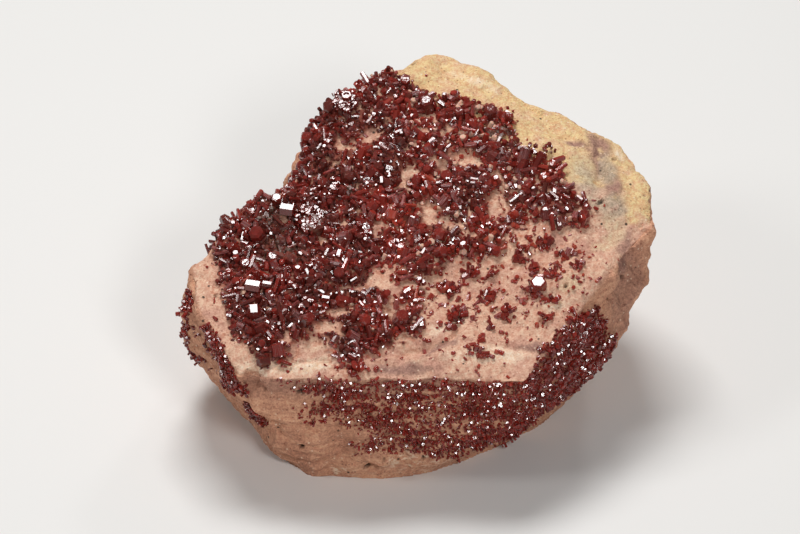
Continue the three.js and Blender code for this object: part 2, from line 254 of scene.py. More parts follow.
# Broad swells of the crest at the back: (across, up, reach, height)
swells = [(0.4, 73.0, 4.0, 1.2), (10.0, 70.0, 3.0, 0.5)]

# Places where the crust leaves the stone bare: (across, up, half length, half width, turn)
windows = [
    (-7.9, 59.3, 2.3, 1.2, 0.25), (-12.4, 57.4, 1.6, 0.8, 0.1), (8.8, 55.3, 3.0, 1.4, -0.25),
    (-1.2, 52.8, 1.6, 1.0, 0.4), (4.6, 54.0, 0.7, 0.8, 0.0), (2.4, 46.4, 1.5, 1.2, 0.3),
    (2.0, 44.6, 1.2, 0.9, -0.4), (13.8, 47.4, 1.9, 2.3, 0.2), (-6.7, 34.9, 2.5, 1.5, 0.6),
    (-13.6, 28.9, 2.5, 0.8, 0.1), (-24.0, 48.4, 1.4, 0.8, 0.9), (-12.6, 33.4, 0.9, 0.6, 0.0),
    (7.6, 44.4, 1.1, 0.6, 0.5), (-19.6, 59.6, 1.0, 2.6, -0.5), (-22.9, 51.6, 1.0, 2.0, -0.5),
    (-15.5, 25.9, 2.6, 1.0, 0.2), (17.8, 43.0, 1.4, 0.6, 0.3), (-17.6, 21.8, 4.0, 2.4, 0.0),
    (-30.0, 20.8, 2.2, 2.6, 0.3), (-24.5, 19.0, 4.0, 0.8, 0.05), (-36.9, 36.4, 3.4, 3.0, 0.0),
    (-35.6, 30.0, 3.0, 4.8, 0.0), (-33.0, 25.6, 1.4, 2.6, 0.3), (-14.0, 54.6, 1.2, 0.5, 0.5),
]

# Small hollows, their darkness painted shade: (across, up, half length, half width, turn)
hollows = [
    (-19.7, 15.1, 0.95, 0.32, 0.45), (-12.2, 12.9, 0.5, 0.25, 0.0), (-5.3, 15.9, 0.3, 0.25, 0.0),
    (-0.2, 6.1, 0.75, 0.28, 0.1), (-1.5, 4.4, 0.9, 0.24, 0.25), (1.0, 3.6, 0.35, 0.3, 0.0),
    (11.0, 21.4, 0.3, 0.2, 0.0), (5.4, 13.0, 0.5, 0.2, 0.3), (-6.0, 10.6, 0.4, 0.2, 0.2),
    (-13.2, 9.4, 0.3, 0.16, 0.2), (-19.9, 6.0, 0.42, 0.32, 0.3), (-8.8, 1.7, 0.6, 0.25, 0.1),
    (31.4, 47.8, 0.5, 0.3, 0.4), (38.6, 48.6, 0.2, 0.2, 0.0), (35.7, 34.8, 0.22, 0.22, 0.0),
    (28.0, 23.0, 0.25, 0.2, 0.0), (-0.8, 14.2, 0.3, 0.2, 0.0), (33.0, 31.0, 0.2, 0.2, 0.0),
    (25.2, 33.0, 0.35, 0.2, 0.9), (4.0, 41.0, 0.25, 0.2, 0.0),
]


def pictureSpots(points):
    rel = points - np.array(view["front"])
    return rel[:, 0] / mm, rel @ np.array(planeUp) / mm


def smooth(values, low, high):
    t = np.clip((values - low) / (high - low), 0, 1)
    return t * t * (3 - 2 * t)


def noiseAt(points, size, shift=0.0):
    offset = Vector((shift, -1.7 * shift, 0.6 * shift))
    return np.array([noise.noise(Vector(p) / (size * mm) + offset) for p in points])


def cellsAt(points, size, shift=0.0):
    offset = Vector((shift, 0.4 * shift, -shift))
    return np.array([noise.voronoi(Vector(p) / (size * mm) + offset)[0][0] for p in points])


def alongLine(across, up, line):
    # distance to a line of points, and which side of it a place is on
    best = np.full(len(across), 1e9)
    side = np.zeros(len(across))
    for (x1, y1), (x2, y2) in zip(line, line[1:]):
        dx, dy = x2 - x1, y2 - y1
        share = np.clip(((across - x1) * dx + (up - y1) * dy) / (dx * dx + dy * dy), 0, 1)
        away = np.hypot(across - x1 - share * dx, up - y1 - share * dy)
        near = away < best
        best = np.where(near, away, best)
        side = np.where(near, np.sign(dx * (up - y1) - dy * (across - x1)), side)
    return best, side


def meshArrays(mesh):
    points = np.empty(len(mesh.vertices) * 3)
    mesh.vertices.foreach_get("co", points)
    normals = np.empty(len(mesh.vertices) * 3)
    mesh.vertices.foreach_get("normal", normals)
    return points.reshape(-1, 3), normals.reshape(-1, 3)


def treeOf(node):
    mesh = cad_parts[node].data
    return BVHTree.FromPolygons([v.co for v in mesh.vertices], [tuple(p.vertices) for p in mesh.polygons])


def depthInside(points, node, reach=0.75):
    # how far a point of the stone lies inside a crystal node's footprint, in mm, negative outside it
    tree = treeOf(node)
    under = np.array([tree.find_nearest(Vector(p), reach * mm)[0] is not None for p in points])
    depth = np.zeros(len(points))
    for flag, sign in ((True, 1), (False, -1)):
        others = np.nonzero(under != flag)[0]
        cloud = KDTree(len(others))
        for i in others:
            cloud.insert(points[i], int(i))
        cloud.balance()
        for i in np.nonzero(under == flag)[0]:
            depth[i] = sign * cloud.find(points[i])[2] / mm
    return depth


def finishedObject(name, mesh, material):
    made = bpy.data.objects.new(name, mesh)
    mesh.materials.clear()
    mesh.materials.append(material)
    scene.collection.objects.link(made)
    return made


def settled(made):
    # the object's mesh with its modifiers applied
    graph = bpy.context.evaluated_depsgraph_get()
    mesh = bpy.data.meshes.new_from_object(made.evaluated_get(graph))
    made.modifiers.clear()
    made.data = mesh
    return made


def roughStone():
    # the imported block, rounded where it isn't broken sharp, as an even fine mesh
    form = bmesh.new()
    form.from_mesh(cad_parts["matrix"].data)
    bmesh.ops.remove_doubles(form, verts=form.verts, dist=0.001 * mm)
    crease = form.edges.layers.float.new("crease_edge")
    for edge in form.edges:
        sharp = edge.calc_face_angle(0) > math.radians(stone["creaseAngle"])
        edge[crease] = stone["creaseWeight"] if sharp else 0.0
    mesh = bpy.data.meshes.new("stoneBlock")
    form.to_mesh(mesh)
    form.free()
    block = finishedObject("stoneBlock", mesh, stoneFinish())
    rounding = block.modifiers.new("rounding", "SUBSURF")
    rounding.levels = rounding.render_levels = 2
    even = block.modifiers.new("even", "REMESH")
    even.mode = "VOXEL"
    even.voxel_size = stone["voxel"] * mm
    settle = block.modifiers.new("settle", "SMOOTH")
    settle.factor, settle.iterations = 0.5, stone["settling"]
    return settled(block)


def ovals(across, up, spots, soft=0.3):
    # 1 in the middle of each oval spot of the picture plane, 0 outside
    share = np.zeros(len(across))
    for x, y, long, wide, turn in spots:
        dx, dy = across - x, up - y
        along = dx * math.cos(turn) + dy * math.sin(turn)
        beside = dy * math.cos(turn) - dx * math.sin(turn)
        share = np.maximum(share, 1 - smooth(np.hypot(along / long, beside / wide), 1 - soft, 1 + soft))
    return share


# The bands of tiny crystals down the left edge
leftBands = [
    {"line": [(-35.6, 26.5), (-33.0, 20.5), (-30.2, 13.6), (-26.9, 8.3)], "width": 1.15},
    {"line": [(-39.6, 32.5), (-40.1, 26.0), (-39.2, 19.3)], "width": 1.25},
    {"line": [(-24.6, 6.0), (-22.6, 3.8)], "width": 0.9},
]


def drusesOn(points, across, up, facing, steep):
    # how thickly the tiny crystals of each coat stand at a point, from 0 to 1
    plane = np.column_stack((across * 0.2, up - 0.15 * across, 0 * up)) * mm
    streaks = smooth(noiseAt(plane, 0.8, 61.0) + 0.35 * noiseAt(points, 1.0, 63.0), -0.02, 0.3)
    depths = {node: depthInside(points, node) for node in ("front_druse", "right_druse", "left_druse")}
    rough = noiseAt(points, 2.2, 2.0)
    front = depths["front_druse"] + 1.4 * rough
    thick = smooth(across + 3 * rough, 0, 12) * smooth(up + 1.5 * rough, 7.5, 13.0)
    thin = smooth(across, -26, -13) * (0.22 + 0.5 * streaks) + 0.07
    right = smooth(depths["right_druse"] + 1.3 * rough, -0.8, 0.8)
    left = np.zeros(len(points))
    for band in leftBands:
        away, _ = alongLine(across, up, band["line"])
        left = np.maximum(left, 1 - smooth(away + 0.6 * rough, 0.3 * band["width"], 1.3 * band["width"]))
    left = np.where(facing > 0.2, left, 0.25 * streaks)
    return {
        "front_druse": smooth(front, -2.2, 0.4) * steep * np.maximum(thin, thick * (0.5 + 0.5 * streaks)),
        "right_druse": right * (0.75 + 0.25 * streaks),
        "left_druse": smooth(depths["left_druse"] + rough, -2.2, 0.0) * left,
    }


def toGroups(points):
    # the distances to each of the small groups of crystals, in mm
    boxes = [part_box(name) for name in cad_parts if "group" in name]
    middles = [(np.array(low) + np.array(high)) / 2 for low, high in boxes]
    return [np.linalg.norm(points - middle, axis=1) / mm for middle in middles]


def shapeStone(block):
    mesh = block.data
    points, normals = meshArrays(mesh)
    across, up = pictureSpots(points)
    facing = smooth(normals @ np.array(toViewer), 0.15, 0.4)
    level = smooth(normals[:, 2], 0.55, 0.85)       # 1 on the upper face
    ground = smooth(points[:, 2], 0.3 * mm, 2.5 * mm)

    crust = depthInside(points, "crystal_crust")
    crust = crust + 1.5 * noiseAt(points, 2.6, 4.0) + 0.6 * noiseAt(points, 1.2, 8.0)
    crustShare = smooth(crust, -0.3, 0.6) * (1 - ovals(across, up, windows) * facing)
    wider = [(x, y, long + 0.7, wide + 0.7, turn) for x, y, long, wide, turn in windows]
    clear = 1 - ovals(across, up, wider) * facing
    # the left of the crust is closed, the rest has gaps, most of them at the top and on the right
    gapped = smooth(across, *stone["gapStart"]) + 0.45 * smooth(up + across, *stone["gapTop"])
    holes = noiseAt(points, 2.3, 71.0) + 0.3 * noiseAt(points, 0.9, 73.0)
    gaps = smooth(holes + 0.1 * gapped, 0.27, 0.4)
    crustShare *= 1 - 0.92 * gaps * level
    steep = 1 - level
    coats = drusesOn(points, across, up, facing, 0.06 + 0.94 * steep)
    druse = np.max(list(coats.values()), axis=0)
    hollow = ovals(across, up, hollows) * facing

    out = np.zeros(len(points))
    for size, shift, height, more in stone["bumps"]:
        out += (height + more * steep) * noiseAt(points, size, shift)
    for size, shift, height, more in stone["folds"]:
        out -= (height + more * steep) * np.abs(noiseAt(points, size, shift))
    # pits, later painted near black as shade
    pits = 1 - smooth(cellsAt(points, 5.0, 3.0), 0.05, 0.1)
    out -= stone["pitDepth"] * pits * (1 - crustShare)
    out += crustShare * level * (0.35 + 0.7 * noiseAt(points, 5.0, 31.0))
    # beds, as noise drawn out along them
    dipping = points[:, 2] - stone["bedDip"] * points[:, 0] + 0.8 * mm * noiseAt(points, 9.0, 41.0)
    beds = np.column_stack((stone["bedStretch"] * points[:, :2], dipping))
    out += steep * (0.45 * noiseAt(beds, 1.5, 43.0) - 0.3 * np.abs(noiseAt(beds, 2.6, 47.0)))
    crest = smooth(points[:, 2], 25 * mm, 32 * mm)
    for x, y, reach, height in swells:
        out += height * np.exp(-(((across - x) ** 2 + (up - y) ** 2) / reach ** 2)) * crest
    for groove in grooves:
        away, _ = alongLine(across, up, groove["line"])
        out -= facing * groove["depth"] * np.exp(-((away / groove["width"]) ** 2))
    for step in ledges:
        away, side = alongLine(across, up, step["line"])
        below = -away * side
        fall = np.exp(-np.maximum(below, 0) / step["fade"]) * smooth(below, -0.5, 0.7)
        out -= facing * step["depth"] * fall * (away < 3 * step["fade"])
    out -= stone["hollowDepth"] * hollow

    push = normals * (out * mm)[:, None]
    push[:, 2] *= ground
    points = points + push * np.maximum(ground, 0.5)[:, None]
    points[:, 2] = np.maximum(points[:, 2], 0)
    points[ground < 0.01, 2] = 0
    mesh.vertices.foreach_set("co", points.ravel())
    mesh.update()
    besideCrust = 0.8 * np.exp(np.minimum(crust, 0) / 1.2)
    shares = {
        "faceShare": level,
        "crustShare": crustShare,
        "druseShare": druse,
        # pits and hollows, painted dark as shade
        "pitShare": np.maximum(0.6 * pits, hollow),
        "rustShare": level * (np.exp(-((np.min(toGroups(points), axis=0) / 3.5) ** 2)) + besideCrust),
    }
    shares.update(patchShares(points, across, up, level, facing))
    for name, values in shares.items():
        layer = mesh.attributes.new(name, "FLOAT", "POINT")
        layer.data.foreach_set("value", values.astype(np.float32))
    return {
        "crust": crust, "crustShare": crustShare, "clear": clear, "gapped": gapped, "level": level,
        "coats": coats,
    }


# Patches on the bare stone, some of them painted shade or painted highlight: (across, up, half length, half
# width, turn)
patches = {
    # painted shade: bands under the front rim, and the dimly lit right side
    "shadeShare": [
        (-20, 16.8, 12, 2.4, 0.04), (0, 17.2, 12, 1.8, 0.1), (13, 16.4, 9, 1.8, 0.0),
        (37.4, 29.0, 4.0, 9.5, 0.12),
    ],
    "fleckShare": [
        (-1.0, 3.0, 6.5, 1.3, 0.12), (-14, 1.6, 3.0, 0.8, -0.2), (-8.0, 6.5, 2.2, 0.4, 0.45),
        (10, 7.5, 4, 1.0, 0.4),
    ],
    # painted shade, mauve-brown, along the ledges and the grooves below them
    "lilacShare": [
        (31.4, 56.4, 1.6, 4.2, 0.25), (33.4, 50.4, 1.5, 4.0, 0.2), (27.6, 58.0, 2.2, 0.5, -0.4),
        (-3.0, 19.4, 5.0, 0.9, 0.06), (3.6, 23.2, 3.4, 0.6, 0.42), (20.5, 23.4, 4.6, 0.6, 0.0),
        (36.0, 37.4, 0.9, 2.2, -0.4), (35.6, 41.5, 1.0, 2.2, -0.3), (-12.5, 21.9, 2.6, 0.6, 0.0),
    ],
    "greyShare": [
        (29.0, 52.0, 2.2, 3.8, 0.4), (32.6, 53.5, 1.3, 2.6, 0.2), (33.6, 46.4, 2.0, 2.0, 0.0),
        (30.5, 47.4, 3.4, 1.1, -0.6),
    ],
    "ochreShare": [
        (25.4, 33.4, 1.9, 1.2, 0.4), (33.4, 43.0, 2.0, 2.4, 0.0), (31.5, 40.4, 1.8, 1.2, 0.0),
        (-29.0, 26.0, 1.8, 1.6, 0.0),
    ],
    # whitish stone, with a painted highlight along the front rim and the crest
    "whiteShare": [
        (23.4, 30.3, 1.9, 0.9, 0.2), (28.8, 26.8, 1.1, 0.7, 0.0), (10.0, 68.4, 4.0, 0.7, -0.4),
        (28.6, 61.4, 2.4, 0.6, -0.7), (34.6, 56.2, 1.6, 0.6, -0.9), (-22.0, 19.9, 8.6, 1.2, 0.03),
        (-8.0, 24.4, 3.6, 1.3, 0.1), (4.6, 27.0, 3.0, 1.0, 0.4), (12.0, 21.6, 6.0, 1.3, 0.05),
    ],
}
# the inner edge of the bare beige strip behind the crystals
stripEdge = [
    (-5, 70), (5.5, 63), (15.9, 56), (21.9, 53.2), (25.3, 51.6), (31.4, 50.6), (34, 47.5), (36.2, 44.7),
    (42, 44.4),
]


def patchShares(points, across, up, level, facing):
    away, side = alongLine(across, up, stripEdge)
    wobble = noiseAt(points, 3.0, 51.0) + 0.4 * noiseAt(points, 1.1, 53.0)
    high = smooth(points[:, 2], 25 * mm, 29 * mm)
    shares = {"stripShare": smooth(away * side + 1.1 * wobble, -0.7, 0.7) * high * smooth(level, 0.1, 0.6)}
    for name, spots in patches.items():
        share = ovals(across + 0.8 * wobble, up - 0.8 * wobble, spots, 0.55)
        low = name in ("shadeShare", "fleckShare")
        shares[name] = share * facing * (1 - level if low else smooth(points[:, 2], 14 * mm, 22 * mm))
    return shares


def stoneFinish():
    recipe = Recipe("sandstone")
    face = recipe.attribute("faceShare")
    broad = recipe.grain(9.0, 3.0)
    fine = recipe.grain(0.75, 3.0, rough=0.7)
    blotch = recipe.grain(2.6, 3.0, shift=3.0)
    paler = recipe.ramped(broad * 0.6 + blotch * 0.4, 0.35, 0.62)
    side = recipe.mixed(paler, stone["sideDark"], stone["sideBrown"])
    tanned = recipe.ramped(broad * 0.5 + blotch * 0.5, 0.36, 0.56)
    top = recipe.mixed(tanned, stone["facePink"], stone["faceTan"])
    colour = recipe.mixed(face, side, top)
    strip = recipe.mixed(recipe.ramped(blotch, 0.42, 0.7) * 0.55, stone["stripBeige"], stone["faceTan"])
    colour = recipe.mixed(recipe.attribute("stripShare"), colour, strip)
    # over the colour: mauve painted shade along the ledges, grey-green, ochre, and whitish stone with painted
    # highlight
    for share, tint, most in (
        ("lilacShare", "ledgeShadeMauve", 0.95), ("greyShare", "greyGreen", 0.65), ("ochreShare", "ochre", 0.75),
        ("whiteShare", "whitish", 0.7),
    ):
        patchy = recipe.attribute(share) * recipe.ramped(blotch, 0.2, 0.5)
        colour = recipe.mixed(patchy * most, colour, stone[tint])
    # grains of sand: pale, brown, red and a few almost black, and brown-red beds on the sides
    pale = recipe.specks(0.62, 0.14)
    brown = recipe.specks(0.55, 0.2, 3.1)
    dark = recipe.specks(0.85, 0.02, 5.3)
    streaks = recipe.grain(1.5, 4.0, recipe.place((0.22, 0.22, 1.5), (0, -0.13, 0)), 0.65)
    beds = recipe.ramped(streaks, 0.46, 0.62) * (1 - face)
    colour = recipe.mixed(beds * 0.7, colour, stone["sideDark"])
    # painted shade under the front rim and on the right side
    colour = recipe.mixed(recipe.attribute("shadeShare") * 0.6, colour, stone["shade"])
    flat = recipe.grain(0.8, 3.0, recipe.place((0.5, 0.5, 1.4)))
    fleck = recipe.attribute("fleckShare") * recipe.ramped(flat, 0.5, 0.62)
    colour = recipe.mixed(fleck * 0.7, colour, stone["whitish"])
    rust = recipe.attribute("rustShare") * recipe.ramped(recipe.grain(0.9, 3.0, shift=5.0), 0.5, 0.66)
    colour = recipe.mixed(rust * 0.75, colour, stone["rust"])
    colour = recipe.mixed(pale * 0.5, colour, stone["whitish"])
    colour = recipe.mixed(brown * 0.5, colour, stone["underDruse"])
    colour = recipe.mixed(dark * 0.9, colour, stone["pit"])
    stain = recipe.ramped(recipe.attribute("druseShare"), 0.35, 0.9) * recipe.ramped(blotch, 0.2, 0.5)
    colour = recipe.mixed(stain * 0.8, colour, stone["underDruse"])
    colour = recipe.mixed(recipe.attribute("crustShare") * 0.95, colour, stone["underCrust"])
    # painted shade: the pits and hollows painted near black
    colour = recipe.mixed(recipe.attribute("pitShare"), colour, stone["pit"])
    sand = recipe.grain(0.3, 2.0, shift=7.0)
    grainy = recipe.ramped(fine * 0.5 + sand * 0.5, 0.36, 0.64)
    shade = recipe.mixed(grainy, stone["grainDark"], stone["grainPale"])
    colour = recipe.mixed(0.6, colour, shade, "OVERLAY")
    normal = recipe.bump(fine * 0.6 + sand * 0.4 - beds * 0.2, 0.9, 0.3)
    recipe.finish(Base_Color=colour, Roughness=0.88 - 0.12 * pale, Normal=normal)
    recipe.shader.inputs["Specular IOR Level"].default_value = 0.3
    return recipe.material


stoneBlock = roughStone()
field = shapeStone(stoneBlock)
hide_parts("matrix")
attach(stoneBlock, "root")
print("stone:", len(stoneBlock.data.polygons), "faces")

stoneTree = BVHTree.FromPolygons(
    [v.co for v in stoneBlock.data.vertices], [tuple(p.vertices) for p in stoneBlock.data.polygons]
)


def spotOnStone(across, up):
    # the place on the stone that the picture shows there, or none past its edge
    start = onPlane(across, up) + toViewer * (150 * mm)
    place, _, _, _ = stoneTree.ray_cast(start, -toViewer)
    return place


# The crystals: every one is a small closed hexagonal prism, and the pieces are many of them joined.
crystal = {
    "darkBrown": (0.09, 0.020, 0.014),
    "deepRed": (0.17, 0.017, 0.012),
    "red": (0.31, 0.03, 0.019),
    "orangeRed": (0.48, 0.10, 0.05),
    "sand": (0.68, 0.40, 0.29),
    # the mauve frosted sides and the pale pink specks, each partly a painted sheen
    "mauveFrostAndSheen": (0.50, 0.26, 0.25),
    "frostAndSheen": (0.62, 0.34, 0.29),
    "dust": (0.13, 0.112, 0.082),
    "ior": 1.7,
    "fineIor": 1.56,
    "fineGlintRadius": 0.24,
    "glintRadius": 0.46,
    "glintLength": 1.3,
    "glintSlope": 0.45,      # how nearly a glinting face has to be the stone's own slope
    "glintSpread": 0.035,
}
protoLength = 10.0       # the shapes below are drawn this long, one across


def sixSided(taper=1.0, bevel=0.0, rise=0.0, hollow=0.0, waist=0.0, rounded=False):
    # a hexagonal prism with a bevelled, pointed, hollow or rounded end
    form = bmesh.new()
    middle = Matrix.Translation((0, 0, protoLength / 2))
    bmesh.ops.create_cone(
        form, cap_ends=True, segments=6, radius1=1 - waist, radius2=taper, depth=protoLength, matrix=middle
    )
    form.faces.ensure_lookup_table()
    top = max(form.faces, key=lambda face: face.calc_center_median().z)
    if bevel:
        bmesh.ops.inset_region(form, faces=[top], thickness=bevel, use_even_offset=True)
        bmesh.ops.translate(form, verts=list(top.verts), vec=(0, 0, rise))
    if hollow:
        bmesh.ops.inset_region(form, faces=[top], thickness=0.22, use_even_offset=True)
        bmesh.ops.inset_region(form, faces=[top], thickness=0.06, use_even_offset=True)
        bmesh.ops.translate(form, verts=list(top.verts), vec=(0, 0, -hollow))
    corners = np.array([v.co for v in form.verts])
    along = (corners[:, 2] > protoLength / 2).astype(float)
    corners[:, 2] -= along * protoLength
    faces = [[v.index for v in face.verts] for face in form.faces]
    side = [1.0 if abs(face.normal.z) < 0.3 else 0.0 for face in form.faces]
    form.free()
    # striations run along the sides, one unit wide each, and the ends lie elsewhere on the map
    sixths = np.arctan2(corners[:, 1], corners[:, 0]) / (math.pi / 3)
    spots = []
    for face, onSide in zip(faces, side):
        turn = sixths[face]
        turn = np.where(turn < turn.max() - 3, turn + 6, turn)
        spots.extend((u, along[j]) if onSide else (corners[j, 0], -9.0) for j, u in zip(face, turn))
    return {
        "corners": corners, "along": along, "faces": faces, "side": side, "spots": np.array(spots),
        "rounded": rounded,
    }


shapes = {
    "pebble": sixSided(taper=0.8, waist=0.1, rounded=True),
    "plain": sixSided(taper=0.97),
    "bevelled": sixSided(bevel=0.22, rise=0.13),
    "pointed": sixSided(taper=0.96, bevel=0.5, rise=0.38),
    "barrel": sixSided(taper=0.8, bevel=0.25, rise=0.14),
    "hollow": sixSided(bevel=0.12, rise=0.07, hollow=0.3),
}


def prism(start, axis, radius, length, shape, tone, facing=None, dust=0.0, flat=1.0, sand=0.0):
    # one crystal: sizes in mm, the way that one of its sides faces, and its width across by its radius
    return {
        "start": np.array(start), "axis": np.array(axis) / np.linalg.norm(axis),
        "radius": radius * mm, "length": length * mm, "shape": shape, "tone": float(np.clip(tone, 0, 1)),
        "facing": facing, "dust": dust, "flat": flat, "sand": sand,
    }


def sideways(rows, random):
    # the two axes across each crystal
    axes = np.array([row["axis"] for row in rows])
    helper = np.where(np.abs(axes[:, 2:]) < 0.9, np.array([[0.0, 0.0, 1.0]]), np.array([[1.0, 0.0, 0.0]]))
    first = np.cross(helper, axes)
    first /= np.linalg.norm(first, axis=1, keepdims=True)
    second = np.cross(axes, first)
    turns = random.uniform(0, math.pi, len(rows))
    for i, row in enumerate(rows):
        if row["facing"] is not None:
            turns[i] = math.atan2(row["facing"] @ second[i], row["facing"] @ first[i])
    cos, sin = np.cos(turns)[:, None], np.sin(turns)[:, None]
    return axes, first * cos + second * sin, second * cos - first * sin


def joinedCrystals(name, rows, material, seed):
    random = np.random.default_rng(seed)
    corners, faces, spots, smoothed = [], [], [], []
    marks = {"tone": [], "side": [], "dust": [], "sand": []}
    count = 0
    for kind, shape in shapes.items():
        mine = [row for row in rows if row["shape"] == kind]
        if not mine:
            continue
        axes, first, second = sideways(mine, random)
        starts = np.array([row["start"] for row in mine])
        radii = np.array([row["radius"] for row in mine])
        lengths = np.array([row["length"] for row in mine])
        squash = np.array([row["flat"] for row in mine])
        form, along = shape["corners"], shape["along"]
        x = (radii * squash)[:, None, None] * form[None, :, 0:1] * first[:, None, :]
        y = radii[:, None, None] * form[None, :, 1:2] * second[:, None, :]
        reach = radii[:, None] * form[None, :, 2] + lengths[:, None] * along[None, :]
        z = reach[:, :, None] * axes[:, None, :]
        corners.append((starts[:, None, :] + x + y + z).reshape(-1, 3))
        for i, row in enumerate(mine):
            base = count + i * len(form)
            faces.extend([[base + j for j in face] for face in shape["faces"]])
            shift = np.array((row["tone"] * 37, 0))
            stretch = np.array((1, lengths[i] / radii[i]))
            spots.extend(corner * stretch + shift for corner in shape["spots"])
        sizes = len(shape["faces"])
        marks["tone"].append(np.repeat([row["tone"] for row in mine], sizes))
        marks["dust"].append(np.repeat([row["dust"] for row in mine], sizes))
        marks["sand"].append(np.repeat([row["sand"] for row in mine], sizes))
        marks["side"].append(np.tile(shape["side"], len(mine)))
        smoothed.append(np.full(sizes * len(mine), shape["rounded"]))
        count += len(form) * len(mine)
    mesh = bpy.data.meshes.new(name)
    mesh.from_pydata(np.concatenate(corners).tolist(), [], faces)
    for mark, values in marks.items():
        layer = mesh.attributes.new(mark, "FLOAT", "FACE")
        layer.data.foreach_set("value", np.concatenate(values).astype(np.float32))
    mesh.polygons.foreach_set("use_smooth", np.concatenate(smoothed))
    mesh.uv_layers.new(name="alongCrystal").data.foreach_set("uv", np.array(spots, np.float32).ravel())
    piece = finishedObject(name, mesh, material)
    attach(piece, "root")
    mesh.calc_loop_triangles()
    print(f"{name}: {len(rows)} crystals, {len(mesh.loop_triangles)} triangles")
    return piece


def crystalFinish(name, ior, frostAndSheen):
    recipe = Recipe(name)
    tone = recipe.attribute("tone")
    side = recipe.attribute("side")
    where = recipe.node("ShaderNodeUVMap", {"uv_map": "alongCrystal"})
    streaky = recipe.node("ShaderNodeMapping", None, {"Vector": where, "Scale": (7.0, 0.5, 1.0)})
    lines = recipe.node("ShaderNodeTexNoise", None, {"Vector": streaky, "Scale": 1.0, "Detail": 3.0}, "Fac")
    cloud = recipe.grain(1.1, 2.0)
    shades = ((0.0, "darkBrown"), (0.3, "deepRed"), (0.62, "red"), (1.0, "orangeRed"))
    stops = [(place, crystal[shade]) for place, shade in shades]
    varied = tone * 0.8 + cloud * 0.4 - 0.12
    colour = recipe.node("ShaderNodeValToRGB", {"stops": stops}, {"Fac": varied}, "Color")
    # some of the crystals, whatever their tone, are frosted, and their striated sides mauve: partly frosting,
    # partly a painted sheen
    chosen = recipe.node("ShaderNodeMath", {"operation": "FRACT"}, {0: tone * 17.3})
    frosted = recipe.ramped(chosen, 0.5, 0.95)
    mauveFrostAndSheen = frosted * side * recipe.ramped(lines, 0.4, 0.62)
    colour = recipe.mixed(mauveFrostAndSheen * frostAndSheen, colour, crystal["mauveFrostAndSheen"])
    # pale pink specks, partly wear and partly a painted sheen
    wornAndSheen = recipe.ramped(recipe.grain(0.32, 3.0, rough=0.6), 0.56, 0.7)
    wornAndSheen = wornAndSheen * recipe.ramped(recipe.grain(3.0), 0.4, 0.6)
    colour = recipe.mixed(wornAndSheen * 0.65 * frostAndSheen, colour, crystal["frostAndSheen"])
    dusty = recipe.attribute("dust") * recipe.ramped(cloud, 0.35, 0.6)
    colour = recipe.mixed(dusty * 0.75, colour, crystal["dust"])
    sandy = recipe.attribute("sand")
    colour = recipe.mixed(sandy, colour, crystal["sand"])
    uneven = recipe.grain(0.5, 1.0, shift=2.0)
    normal = recipe.bump(lines * side * 0.3 + uneven * (1 - side), 0.6, 0.08)
    roughness = 0.08 + 0.2 * mauveFrostAndSheen + 0.06 * cloud + 0.4 * dusty + 0.6 * sandy
    recipe.finish(Base_Color=colour, Roughness=roughness, Normal=normal)
    recipe.shader.inputs["IOR"].default_value = ior
    recipe.shader.inputs["Subsurface Weight"].default_value = 0.3
    recipe.shader.inputs["Subsurface Radius"].default_value = (1.0, 0.12, 0.06)
    recipe.shader.inputs["Subsurface Scale"].default_value = 0.5 * mm
    return recipe.material


# Faces of the stone that crystals can stand on
def stoneFaces():
    mesh = stoneBlock.data
    count = len(mesh.polygons)
    centres, normals, areas = np.empty(count * 3), np.empty(count * 3), np.empty(count)
    mesh.polygons.foreach_get("center", centres)
    mesh.polygons.foreach_get("normal", normals)
    mesh.polygons.foreach_get("area", areas)
    first = np.empty(len(mesh.loops), np.int32)
    mesh.loops.foreach_get("vertex_index", first)
    starts = np.empty(count, np.int32)
    mesh.polygons.foreach_get("loop_start", starts)
    return {
        "centres": centres.reshape(-1, 3), "normals": normals.reshape(-1, 3), "areas": areas,
        "corner": first[starts],
    }


ground = stoneFaces()


def scattered(weights, count, spacing, random):
    # places spread over the stone by weight, none nearer than the spacing (mm) to another
    chance = weights * ground["areas"]
    chance /= chance.sum()
    picked = random.choice(len(chance), size=count, p=chance)
    cell = spacing * mm
    taken, places = {}, []
    for face in picked:
        jitter = random.uniform(-0.2, 0.2, 3) * mm
        normal = ground["normals"][face]
        place = ground["centres"][face] + jitter - normal * (jitter @ normal)
        key = tuple(np.floor(place / cell).astype(int))
        near = False
        for dx in (-1, 0, 1):
            for dy in (-1, 0, 1):
                for dz in (-1, 0, 1):
                    for other in taken.get((key[0] + dx, key[1] + dy, key[2] + dz), ()):
                        near = near or np.linalg.norm(place - other) < cell
        if not near:
            taken.setdefault(key, []).append(place)
            places.append((face, place))
    return places


def tilted(normal, amount, random):
    # an axis that leans from the normal by the given angle, to a random side
    side = np.cross(normal, random.normal(size=3))
    side /= np.linalg.norm(side)
    return normal * math.cos(amount) + side * math.sin(amount)


def glintAxis(normal, random):
    # a way to face that catches a lamp, or the stone's own way where its slope allows none
    good = [glint for glint in glints if glint @ normal > crystal["glintSlope"]] or [normal]
    axis = good[random.integers(len(good))] + random.normal(size=3) * crystal["glintSpread"]
    return axis / np.linalg.norm(axis)


def between(pair, share):
    return pair[0] + (pair[1] - pair[0]) * share


